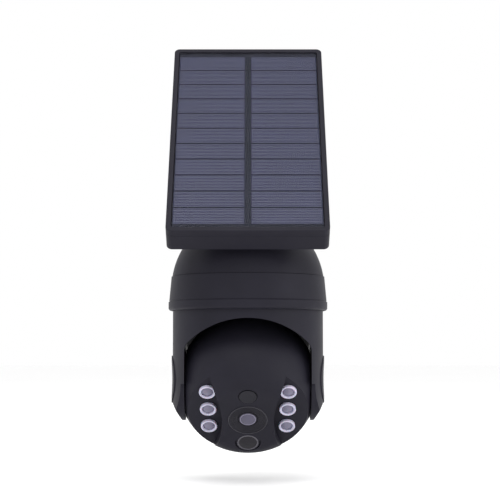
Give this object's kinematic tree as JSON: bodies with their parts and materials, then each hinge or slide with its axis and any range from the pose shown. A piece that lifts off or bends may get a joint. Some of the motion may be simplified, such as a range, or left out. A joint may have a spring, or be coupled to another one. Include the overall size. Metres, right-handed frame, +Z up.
{
  "type": "solar-powered security camera",
  "caption": "Wall-mounted solar security camera: a ball camera with lamps, lens and motion sensor tilts in a panning yoke under a domed housing with a hinged solar panel.",
  "frame": {"origin": "centre of the wall bracket's back face, in the middle of its four screw holes", "axes": "+Z up, +Y into the wall, -Y towards the front that the camera faces, +X to the right as seen from the front"},
  "size_m": [0.1152, 0.177, 0.3044],
  "materials": {
    "shell_plastic": "fine satin moulded black",
    "steel": "zinc-plated",
    "motor_can": "drawn steel can",
    "seal_rubber": "matte moulded rubber",
    "cell_can": null,
    "inner_plastic": "moulded black",
    "circuit_board": "green solder mask",
    "antenna_film": "copper film",
    "gear_plastic": "natural acetal",
    "bush_plastic": "oiled acetal",
    "lens_black": "semi-gloss black",
    "lens_glass": "coated glass",
    "lamp_white": "milky white",
    "lamp_clear": "pale grey-lilac epoxy",
    "window_dark": "dark tinted",
    "sensor_film": "dark milky film",
    "backing_sheet": "dark laminate",
    "solar_silicon": "blue-grey silicon with fine silver fingers",
    "clear_cover": "clear epoxy sheet"
  },
  "bodies": {
    "housing": {"wall_bracket": "shell_plastic", "bracket_screws": "steel", "dome_shell": "shell_plastic", "collar_shell": "shell_plastic", "housing_seal": "seal_rubber", "housing_screws": "steel", "battery_cells": "cell_can", "battery_holder": "inner_plastic", "main_board": "circuit_board", "wifi_antenna": "antenna_film", "pan_motor": "motor_can", "motor_screws": "steel", "pan_bush": "bush_plastic", "usb_socket": "steel"},
    "port_flap": {"port_cover": "seal_rubber"},
    "button": {"power_button": "inner_plastic"},
    "pan_drive": {"pan_pinion": "gear_plastic"},
    "yoke": {"yoke_shell": "shell_plastic", "arm_liners": "shell_plastic", "pan_gear": "gear_plastic", "pan_retainer": "steel", "pivot_axles": "steel", "axle_clips": "steel", "tilt_gear": "gear_plastic", "ear_cap_left": "shell_plastic", "ear_cap_right": "shell_plastic"},
    "tilt_drive": {"tilt_pinion": "gear_plastic"},
    "ball": {"ball_front_shell": "shell_plastic", "ball_rear_shell": "shell_plastic", "ball_seal": "seal_rubber", "ball_screws": "steel", "pivot_bushes": "bush_plastic", "lens_bezel": "lens_black", "lens_barrel": "lens_black", "lens_glass": "lens_glass", "sensor_board": "circuit_board", "lamp_bezels": "lamp_white", "lamp_lenses": "lamp_clear", "lamp_boards": "circuit_board", "light_window": "window_dark", "pir_lens": "sensor_film", "pir_sensor": "steel", "tilt_motor": "motor_can", "tilt_motor_bracket": "steel", "speaker": "inner_plastic"},
    "swivel": {"swivel_base": "shell_plastic", "swivel_nut": "steel", "hinge_bolt": "steel"},
    "knob": {"clamp_knob": "shell_plastic"},
    "panel": {"panel_bracket": "shell_plastic", "bracket_bolts": "steel", "panel_tray": "shell_plastic", "panel_seal": "seal_rubber", "panel_frame": "shell_plastic", "panel_screws": "steel", "cell_backing": "backing_sheet", "solar_cells": "solar_silicon", "clear_sheet": "clear_cover", "charge_board": "circuit_board"}
  },
  "joints": [
    {"name": "pan", "type": "hinge", "parent": "housing", "child": "yoke", "pos_m": [0, -0.102, -0.08], "axis": [0, 0, 1], "range_deg": [-175, 175]},
    {"name": "pan_pinion_spin", "type": "hinge", "parent": "housing", "child": "pan_drive", "pos_m": [0.024, -0.102, -0.08], "axis": [0, 0, 1], "range_deg": [-530, 530]},
    {"name": "tilt", "type": "hinge", "parent": "yoke", "child": "ball", "pos_m": [0, -0.102, -0.08], "axis": [1, 0, 0], "range_deg": [-50, 46]},
    {"name": "tilt_pinion_spin", "type": "hinge", "parent": "ball", "child": "tilt_drive", "pos_m": [0, -0.08992, -0.06833], "axis": [1, 0, 0], "range_deg": [-126, 116]},
    {"name": "panel_swivel", "type": "hinge", "parent": "housing", "child": "swivel", "pos_m": [0, -0.102, 0.0445], "axis": [0, 0, 1], "range_deg": [-90, 90]},
    {"name": "panel_tilt", "type": "hinge", "parent": "swivel", "child": "panel", "pos_m": [0, -0.102, 0.0635], "axis": [1, 0, 0], "range_deg": [-32, 3]},
    {"name": "clamp_knob_turn", "type": "hinge", "parent": "swivel", "child": "knob", "pos_m": [0.015, -0.102, 0.0635], "axis": [1, 0, 0], "range_deg": [-180, 180]},
    {"name": "port_flap_swing", "type": "hinge", "parent": "housing", "child": "port_flap", "pos_m": [-0.05361, -0.08595, -0.01175], "axis": [0, 0, 1], "range_deg": [0, 100]},
    {"name": "power_button_press", "type": "slide", "parent": "housing", "child": "button", "axis": [-0.8829, -0.4695, 0], "range_m": [0, 0.0012], "stiffness_N_per_m": 400, "springref_m": -0.0005}
  ],
  "couplings": [
    {"joint": "pan_pinion_spin", "follows": "pan", "ratio": -3},
    {"joint": "tilt_pinion_spin", "follows": "tilt", "ratio": 2.5}
  ]
}
